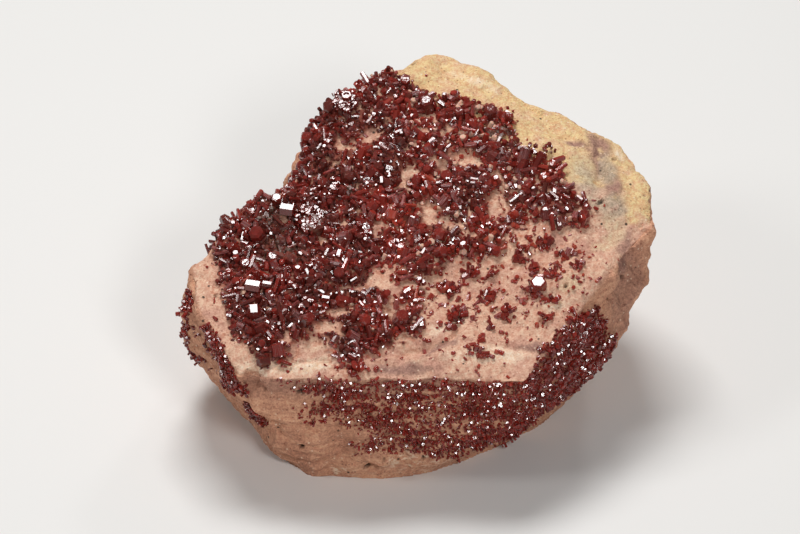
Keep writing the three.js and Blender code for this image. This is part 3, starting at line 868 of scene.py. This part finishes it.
# The crust on the upper face, in layers. Sizes in mm, leans in degrees from the stone's normal.
crustLayers = [
    {
        "tries": 8500, "spacing": 0.56, "radius": (0.24, 0.5), "length": (0.5, 1.3), "lean": (0, 70),
        "lift": 0.0, "glint": 0.16, "sand": 0.12, "kinds": ("pebble", "plain", "bevelled"),
    },
    {
        "tries": 3200, "spacing": 0.92, "radius": (0.38, 0.74), "length": (0.9, 1.9), "lean": (0, 65),
        "lift": 0.4, "glint": 0.3, "sand": 0.06, "kinds": ("bevelled", "barrel", "barrel", "pointed"),
    },
    {
        "tries": 1150, "spacing": 1.2, "radius": (0.3, 0.54), "length": (1.6, 3.0), "lean": (62, 86),
        "lift": 0.9, "glint": 0.2, "sand": 0.0, "kinds": ("bevelled", "bevelled", "pointed"),
    },
    {
        "tries": 230, "spacing": 2.9, "radius": (0.8, 1.35), "length": (1.2, 2.0), "lean": (5, 60),
        "lift": 0.7, "glint": 0.0, "sand": 0.0,
        "kinds": ("bevelled", "barrel", "barrel", "barrel", "pointed"),
    },
]
crustForm = {
    "edge": 0.45,
    "flat": (0.75, 1.1),
    "glintFlat": (0.45, 0.8),
    "tone": 0.42,
    "toneWave": 0.5,
    "toneSpread": 0.14,
    "leftDarker": 0.2,
    "sunk": 0.4,
}
dustSpots = [
    (-22.6, 39.4, 4.0, 1.5, -0.2), (-25.5, 45.0, 1.8, 0.8, 0.2), (-11.0, 50.2, 1.6, 0.9, 0.4),
    (13.5, 59.6, 3.0, 0.8, 0.1),
]

# The crystals of the crust that stand out: place on the picture plane, radius, length, shape, tone, dust and
# axis, or the face, "end" or "side", that is turned to catch the top lamp.
showCrystals = [
    ((-12.8, 64.4), 1.9, 2.2, "bevelled", 0.16, 0.4, (-0.2, -0.25, 1)),
    ((-24.1, 47.6), 0.95, 2.4, "bevelled", 0.3, 0, "end"),
    ((-22.3, 45.6), 1.15, 2.2, "bevelled", 0.2, 0, "side"),
    ((-28.0, 32.6), 1.1, 2.4, "bevelled", 0.3, 0, "side"),
    ((-25.6, 32.9), 0.6, 1.5, "bevelled", 0.2, 0, "side"),
    ((-15.6, 30.5), 0.55, 1.3, "bevelled", 0.3, 0, "side"),
    ((-12.2, 64.9), 0.95, 3.2, "hollow", 0.3, 0, "end"),
    ((-18.3, 43.4), 2.3, 2.2, "bevelled", 0.12, 0.4, (0.1, -0.2, 1)),
    ((-27.2, 41.6), 1.7, 2.6, "barrel", 0.25, 0, (-0.3, -0.4, 1)),
    ((-25.0, 37.6), 1.5, 2.2, "barrel", 0.1, 0, (0.1, -0.3, 1)),
    ((-19.5, 27.8), 0.9, 3.2, "bevelled", 0.4, 0, (0.6, -0.8, 0.8)),
    ((17.4, 53.4), 0.85, 4.6, "hollow", 0.16, 0, (0.35, 0.5, 1)),
    ((19.8, 53.4), 0.7, 4.0, "bevelled", 0.25, 0, (0.6, 0.5, 1)),
    ((21.8, 51.2), 0.65, 3.6, "hollow", 0.5, 0, (0.9, -0.2, 0.7)),
    ((23.8, 50.0), 0.6, 3.8, "bevelled", 0.45, 0, (1.0, -0.1, 0.35)),
    ((12.4, 63.0), 1.5, 2.2, "barrel", 0.12, 0, (0.1, -0.3, 1)),
    ((7.2, 62.6), 1.2, 2.2, "barrel", 0.18, 0, (-0.1, -0.2, 1)),
    ((1.8, 64.4), 1.6, 2.4, "barrel", 0.14, 0, (-0.2, -0.3, 1)),
    ((15.5, 61.8), 1.0, 2.2, "barrel", 0.3, 0, (0.2, -0.1, 1)),
    ((4.7, 51.6), 1.3, 2.6, "barrel", 0.42, 0, (0.1, -0.5, 1)),
    ((2.2, 52.8), 1.0, 2.4, "barrel", 0.36, 0, (-0.5, -0.4, 1)),
    ((-3.1, 27.8), 1.5, 2.4, "barrel", 0.4, 0, (0.3, -0.6, 1)),
    ((-8.5, 52), 1.1, 2.8, "bevelled", 0.3, 0, (0.7, 0.2, 1)),
    ((-31, 39.5), 1.0, 2.4, "barrel", 0.3, 0, (-0.8, -0.3, 1)),
    ((-16.0, 50.5), 1.2, 2.2, "barrel", 0.22, 0, (-0.3, -0.3, 1)),
]
# broken ends that sparkle all over: (across, up, height, reach, count)
sparkles = [
    (-18.3, 43.9, 1.5, 2.3, 90), (-12.6, 64.2, 1.6, 2.1, 70), (-19.0, 29.2, 0.9, 1.4, 15),
    (19.4, 56.0, 1.4, 1.2, 14), (0.6, 33.6, 0.9, 1.2, 9), (22.3, 55.6, 1.2, 1.4, 12),
    (-14.6, 49.6, 1.0, 1.6, 12), (-9.5, 42.0, 0.9, 1.6, 12),
]


def crustLayer(layer, random):
    share = field["crustShare"][ground["corner"]]
    inner = smooth(field["crust"][ground["corner"]], 0.2, 1.6 * (1 + layer["lift"]))
    clear = field["clear"][ground["corner"]]
    gapped = field["gapped"][ground["corner"]]
    weight = (share > crustForm["edge"]) * ((0.3 + 0.7 * inner) * (clear > 0.5) if layer["lift"] else 1.0)
    rows = []
    for face, place in scattered(weight, layer["tries"], layer["spacing"], random):
        normal = ground["normals"][face]
        lean = math.radians(random.uniform(*layer["lean"]))
        axis = tilted(normal, lean, random)
        radius = between(layer["radius"], random.random() ** 1.6)
        length = random.uniform(*layer["length"])
        facing, flat = None, random.uniform(*crustForm["flat"])
        if random.random() < layer["glint"]:
            caught = glintAxis(normal, random)
            if lean > 1:        # a lying crystal glints with its side, a standing one with its end
                facing, length = caught, min(length, crystal["glintLength"])
                axis = np.cross(facing, axis)
                axis *= np.sign(axis @ normal + 1e-9)
            else:
                axis, radius = caught, min(radius, crystal["glintRadius"])
                flat = random.uniform(*crustForm["glintFlat"])
        lying = math.sin(lean)
        start = place + normal * (layer["lift"] * random.uniform(0.2, 1)) * mm
        start = start - axis * (0.5 * length * lying + crustForm["sunk"] * (1 - lying)) * mm
        across, up = pictureSpots(place[None, :])
        tone = crustForm["tone"] + crustForm["toneWave"] * noiseAt(place[None, :], 6.0, 81.0)[0]
        tone -= crustForm["leftDarker"] * (1 - smooth(across[0], *stone["gapStart"]))
        tone += random.normal(0, crustForm["toneSpread"])
        dust = ovals(across, up, dustSpots, 0.6)[0]
        sandy = 0.0 if facing is not None else layer["sand"] * gapped[face]
        sand = float(random.random() < sandy)
        kind = str(random.choice(layer["kinds"]))
        rows.append(prism(start, axis, radius, length, kind, tone, facing, dust, flat, sand))
    return rows


def showRows():
    rows = []
    for spot, radius, length, shape, tone, dust, axis in showCrystals:
        place, facing = np.array(spotOnStone(*spot)), None
        if axis == "end":
            axis = glints[0]
        elif axis == "side":
            facing = glints[0]
            axis = np.cross((0.25, 1.0, 0.0), facing)
        axis = np.array(axis) / np.linalg.norm(axis)
        if facing is None:
            start = place - axis * 0.6 * mm
        else:
            start = place + (facing * 1.4 - axis * 0.5 * length) * mm
        rows.append(prism(start, axis, radius, length, shape, tone, facing, dust))
    return rows


def sparkleRows(random):
    rows = []
    for across, up, height, reach, count in sparkles:
        for _ in range(count):
            away, turn = reach * math.sqrt(random.random()), random.uniform(0, 2 * math.pi)
            place = spotOnStone(across + away * math.cos(turn), up + away * math.sin(turn))
            if place is None:
                continue
            axis = glints[0] + random.normal(size=3) * 0.09
            start = np.array(place) + axis * (height - random.uniform(0, 0.3)) * mm
            radius = between((0.16, 0.6), random.random() ** 2)
            rows.append(prism(start, axis, radius, 0.7, "bevelled", 0.3, flat=random.uniform(0.5, 1.0)))
    return rows


def makeCrust():
    random = np.random.default_rng(7)
    rows = showRows() + sparkleRows(random)
    for layer in crustLayers:
        rows += crustLayer(layer, random)
    crust = joinedCrystals("crystalCrust", rows, vanadinite, 3)
    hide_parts("crystal_crust")


vanadinite = crystalFinish("vanadinite", crystal["ior"], 0.65)
fineVanadinite = crystalFinish("fineVanadinite", crystal["fineIor"], 0.2)
makeCrust()

# The thin coats of tiny crystals on the steep sides. Sizes in mm.
druses = {
    "frontDruse": {
        "node": "front_druse", "seed": 11, "tries": 8400, "spacing": 0.3, "radius": (0.1, 0.28),
        "glint": 0.26, "tone": 0.5,
    },
    "rightDruse": {
        "node": "right_druse", "seed": 12, "tries": 5200, "spacing": 0.4, "radius": (0.18, 0.5),
        "glint": 0.24, "tone": 0.33,
    },
    "leftDruse": {
        "node": "left_druse", "seed": 13, "tries": 2200, "spacing": 0.36, "radius": (0.15, 0.42),
        "glint": 0.2, "tone": 0.38,
    },
}
druseForm = {"length": (0.3, 0.8), "lean": (0, 70), "clearOfFoot": 1.2}


def makeDruse(name, about):
    random = np.random.default_rng(about["seed"])
    weight = field["coats"][about["node"]][ground["corner"]] ** 1.5
    weight = weight * (ground["centres"][:, 2] > druseForm["clearOfFoot"] * mm)
    rows = []
    for face, place in scattered(weight, about["tries"], about["spacing"], random):
        normal = ground["normals"][face]
        axis = tilted(normal, math.radians(random.uniform(*druseForm["lean"])), random)
        radius = between(about["radius"], random.random() ** 2)
        length = random.uniform(*druseForm["length"]) * (0.6 + radius)
        if random.random() < about["glint"]:
            axis = glintAxis(normal, random)
            radius, length = max(radius, crystal["fineGlintRadius"]), druseForm["length"][1]
        kind = "bevelled" if radius > 0.26 else str(random.choice(("plain", "pebble")))
        tone = random.normal(about["tone"], 0.14)
        rows.append(prism(place - axis * 0.4 * length * mm, axis, radius, 1.4 * length, kind, tone))
    piece = joinedCrystals(name, rows, fineVanadinite, about["seed"])
    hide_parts(about["node"])


for name, about in druses.items():
    makeDruse(name, about)

# The small groups on the bare part of the face. Each is a low heap of short prisms, sizes in mm.
heap = {"radius": (0.3, 0.7), "length": (0.7, 1.4), "spacing": 0.6, "rise": 0.5, "reach": 0.8, "tone": 0.44}
flatHexagon = {"at": (20.5, 33.3), "radius": 1.45, "length": 0.9, "rise": 0.6}


def makeGroup(node, seed):
    random = np.random.default_rng(seed)
    low, high = (Vector(corner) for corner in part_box(node))
    reach = heap["reach"] * 0.5 * max(high.x - low.x, high.y - low.y)
    base, normal, _, _ = stoneTree.find_nearest((low + high) / 2)
    side = Matrix.Rotation(random.uniform(0, math.pi), 3, normal) @ normal.orthogonal().normalized()
    other = normal.cross(side) * random.uniform(0.45, 0.8)
    rows, taken = [], []
    for _ in range(300):
        x, y = random.uniform(-1, 1, 2)
        away = math.hypot(x, y)
        place = base + (side * x + other * y) * reach
        if away > 1 or any((place - placed).length < heap["spacing"] * mm for placed in taken):
            continue
        taken.append(place)
        if random.random() < 0.25 * away:
            continue
        foot, _, _, _ = stoneTree.find_nearest(place)
        outward = side * x + other * y + Vector(random.normal(size=3)) * 0.4
        axis = (normal * (1.1 - 0.6 * away) + outward * 0.9).normalized()
        length = random.uniform(*heap["length"])
        start = foot + normal * heap["rise"] * (1 - away ** 2) * mm - axis * 0.45 * length * mm
        kind = str(random.choice(("pebble", "bevelled", "bevelled", "barrel", "barrel", "pointed")))
        tone = random.normal(heap["tone"], 0.14)
        radius = between(heap["radius"], random.random() ** 1.5)
        rows.append(prism(start, axis, radius, 1.2 * length, kind, tone))
    return rows


def makeGroups():
    nodes = sorted(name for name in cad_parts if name.startswith("crystal_group"))
    for number, node in enumerate(nodes, 1):
        piece = joinedCrystals(f"crystalGroup{number:02d}", makeGroup(node, 100 + number), vanadinite, number)
        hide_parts(node)
    rows = makeGroup("flat_crystal_group", 99)
    place = np.array(spotOnStone(*flatHexagon["at"]))
    start = place + glints[0] * flatHexagon["rise"] * mm
    rows.append(prism(start, glints[0], flatHexagon["radius"], flatHexagon["length"], "bevelled", 0.35))
    piece = joinedCrystals("flatHexagonGroup", rows, vanadinite, 99)
    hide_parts("flat_crystal_group")


makeGroups()

# Single crystals lying about the groups and along the edges of the crust and the front coat
loose = {"tries": 1500, "spacing": 0.6, "radius": (0.12, 0.5), "length": (0.3, 0.9), "tone": 0.66}


def makeLoose():
    random = np.random.default_rng(21)
    centres, corner = ground["centres"], ground["corner"]
    crust = field["crust"][corner]
    weight = 0.9 * np.exp(np.minimum(crust, 0) / 0.7)
    for away in toGroups(centres):
        weight = weight + 0.45 * np.exp(-((away / 4.5) ** 2))
    clumps = np.zeros(len(centres))
    near = np.nonzero(weight > 0.02)[0]
    clumps[near] = smooth(noiseAt(centres[near], 1.6, 91.0), 0.0, 0.35)
    weight = weight * clumps * field["level"][corner] * (1 - field["crustShare"][corner])
    weight = weight * (centres[:, 2] > 15 * mm) * (0.15 + 0.85 * field["clear"][corner])
    rows = []
    for face, place in scattered(weight, loose["tries"], loose["spacing"], random):
        axis = tilted(ground["normals"][face], math.radians(random.uniform(0, 85)), random)
        radius = between(loose["radius"], random.random() ** 1.8)
        length = random.uniform(*loose["length"]) * (0.6 + radius)
        kind = str(random.choice(("pebble", "bevelled", "barrel")))
        tone = random.normal(loose["tone"], 0.14)
        rows.append(prism(place - axis * 0.35 * length * mm, axis, radius, 1.3 * length, kind, tone))
    joinedCrystals("looseCrystals", rows, vanadinite, 21)


makeLoose()


def makeStudio():
    form = bmesh.new()
    bmesh.ops.create_grid(form, x_segments=1, y_segments=1, size=3.0)
    bmesh.ops.translate(form, verts=form.verts, vec=(0, 0, -0.02 * mm))
    mesh = bpy.data.meshes.new("floor")
    form.to_mesh(mesh)
    form.free()
    recipe = Recipe("paleFloor")
    recipe.finish(Base_Color=(*studio["floor"], 1), Roughness=0.65)
    finishedObject("floor", mesh, recipe.material)

    scene.world = bpy.data.worlds.new("world")
    scene.world.use_nodes = True
    sky = scene.world.node_tree.nodes["Background"]
    sky.inputs["Color"].default_value = (*studio["worldColour"], 1)
    sky.inputs["Strength"].default_value = studio["worldStrength"]

    aim = studio["aim"] * mm
    for name, place, size, power in studio["lamps"]:
        lamp = bpy.data.objects.new(name, bpy.data.lights.new(name, "AREA"))
        lamp.data.shape = "RECTANGLE"
        lamp.data.size, lamp.data.size_y = size[0] * mm, size[1] * mm
        lamp.data.energy = power
        lamp.location = Vector(place) * mm
        lamp.rotation_euler = (aim - lamp.location).to_track_quat("-Z", "Y").to_euler()
        scene.collection.objects.link(lamp)


makeStudio()
print("studio: done")
